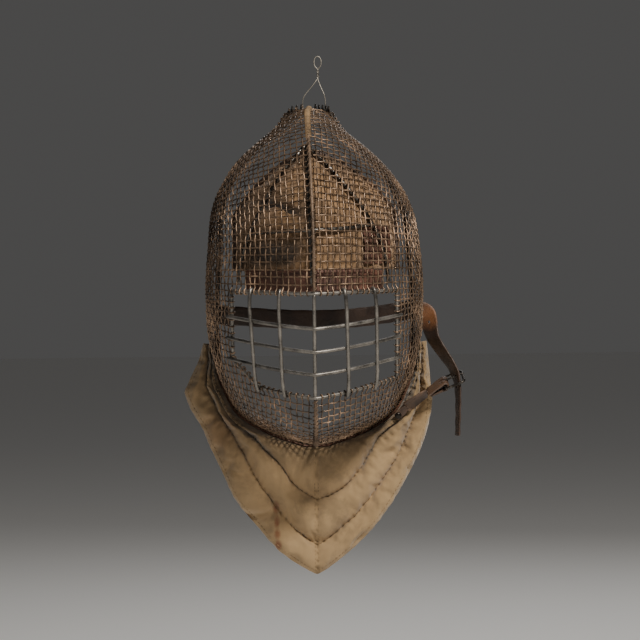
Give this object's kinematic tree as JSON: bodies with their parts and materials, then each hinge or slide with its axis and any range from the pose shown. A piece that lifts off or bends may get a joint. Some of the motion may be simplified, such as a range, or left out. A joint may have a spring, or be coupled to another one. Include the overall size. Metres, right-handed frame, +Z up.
{
  "type": "fencing mask",
  "caption": "Old wire-cloth fencing mask with a barred visor, padded crown, quilted canvas bib and a buckled leather strap, hung by a wire loop.",
  "frame": {"origin": "top of the hanging wire's eye, where the mask hangs", "axes": "+Z up, +X to the right in the front view, +Y back to the wall; the mask's face looks along -Y"},
  "size_m": [0.2762, 0.1802, 0.5155],
  "materials": {
    "wire_cloth": "rusty drawn wire",
    "lashing": "waxed twine",
    "rim_iron": "rusted",
    "binding_leather": "dry, worn",
    "visor_steel": "dull, tarnished",
    "rib_iron": "blackened, worn bright on edges",
    "pad_canvas": "coarse weave",
    "bib_canvas": "faded canvas",
    "strap_leather": "dark, creased",
    "hanging_wire": "dull galvanised"
  },
  "bodies": {
    "root": {"net_left": "wire_cloth", "net_right": "wire_cloth", "keel_seam": "lashing", "chin_seam": "lashing", "rim_wire": "rim_iron", "rim_binding": "binding_leather", "visor_grille": "visor_steel", "crown_ribs": "rib_iron", "crown_pad": "pad_canvas", "brow_band": "binding_leather", "bib": "bib_canvas", "nape_strap": "strap_leather", "jaw_strap": "strap_leather", "buckle_frame": "rib_iron", "buckle_tongue": "rib_iron", "jaw_rivet": "rib_iron", "nape_rivet": "rib_iron", "hanging_wire": "hanging_wire"}
  },
  "joints": []
}
